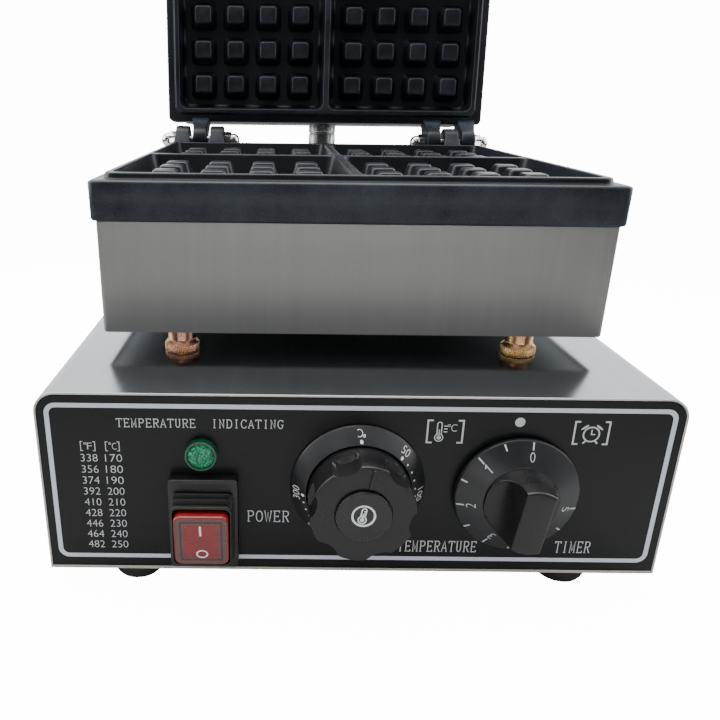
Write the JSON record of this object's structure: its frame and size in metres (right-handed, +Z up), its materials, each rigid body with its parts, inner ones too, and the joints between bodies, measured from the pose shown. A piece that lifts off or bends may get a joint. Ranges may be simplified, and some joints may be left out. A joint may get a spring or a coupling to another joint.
{
  "type": "square waffle baker",
  "caption": "Countertop square waffle baker: black-faced steel control base, fixed lower mould plate on posts and a hinged upper half standing open.",
  "frame": {"origin": "on the floor under the feet, at the middle of the object's box with the upper half fully open", "axes": "+X to the object's right seen from the front, +Y to the back, +Z up; the control panel faces -Y"},
  "size_m": [0.32, 0.4869, 0.5508],
  "materials": {
    "steel": "brushed stainless sheet",
    "bright_steel": "bright machined steel",
    "nonstick": "cast plate with a dark blue-grey non-stick coating",
    "black_panel": "satin black control overlay with light grey print",
    "black_plastic": "moulded black phenolic",
    "spun_cap": "smooth black insert",
    "rubber": "black moulded rubber",
    "red_plastic": "translucent red",
    "green_lens": "faceted translucent green",
    "plated_posts": "yellow-passivated steel with an iridescent tint",
    "mineral_wool": "pressed mineral wool",
    "element_sheath": "dark sheathed element"
  },
  "bodies": {
    "base": {"base_tray": "steel", "casing_cover": "steel", "conduit": "bright_steel", "conduit_gland_lower": "bright_steel", "control_panel": "black_panel", "element_clamp_lower": "steel", "foot_front_left": "rubber", "foot_front_right": "rubber", "foot_rear_left": "rubber", "foot_rear_right": "rubber", "heating_element_lower": "element_sheath", "hinge_pin_left": "bright_steel", "hinge_pin_right": "bright_steel", "lamp_body": "black_plastic", "lamp_lens": "green_lens", "lower_base_plate": "steel", "lower_plate": "nonstick", "lower_skirt": "steel", "mains_gland": "black_plastic", "nut_left_left": "bright_steel", "nut_left_right": "bright_steel", "nut_right_left": "bright_steel", "nut_right_right": "bright_steel", "post_front_left": "plated_posts", "post_front_right": "plated_posts", "post_rear_left": "plated_posts", "post_rear_right": "plated_posts", "rear_panel": "steel", "rear_screw_1": "bright_steel", "rear_screw_2": "bright_steel", "rear_screw_3": "bright_steel", "rear_screw_4": "bright_steel", "switch_body": "black_plastic", "switch_frame": "rubber", "temperature_dial": "black_plastic", "terminal_block": "black_plastic", "thermostat_body": "bright_steel", "thermostat_bulb": "element_sheath", "timer_body": "black_plastic", "wool_pad_lower": "mineral_wool"},
    "upper_half": {"upper_plate": "nonstick", "upper_cover": "steel", "heating_element_upper": "element_sheath", "element_clamp_upper": "steel", "wool_pad_upper": "mineral_wool", "conduit_gland_upper": "bright_steel", "handle_arm_left": "bright_steel", "handle_arm_right": "bright_steel", "handle_screw_left": "bright_steel", "handle_screw_right": "bright_steel", "handle_grip": "black_plastic"},
    "temperature_knob": {"temperature_grip": "black_plastic", "temperature_cap": "spun_cap", "thermostat_shaft": "bright_steel"},
    "timer_knob": {"timer_dial": "black_plastic", "timer_grip": "black_plastic", "timer_shaft": "bright_steel"},
    "power_rocker": {"switch_rocker": "red_plastic"}
  },
  "joints": [
    {"name": "upper_half_hinge", "type": "hinge", "parent": "base", "child": "upper_half", "pos_m": [0, 0.12953, 0.209], "axis": [1, 0, 0], "range_deg": [0, 96]},
    {"name": "temperature_turn", "type": "hinge", "parent": "base", "child": "temperature_knob", "pos_m": [0, -0.21337, 0.062], "axis": [0, 1, 0], "range_deg": [-10, 260]},
    {"name": "timer_turn", "type": "hinge", "parent": "base", "child": "timer_knob", "pos_m": [0.08, -0.21337, 0.059], "axis": [0, 1, 0], "range_deg": [0, 266]},
    {"name": "rocker_tilt", "type": "hinge", "parent": "base", "child": "power_rocker", "pos_m": [-0.0775, -0.22337, 0.042], "axis": [-1, 0, 0], "range_deg": [0, 10]}
  ]
}
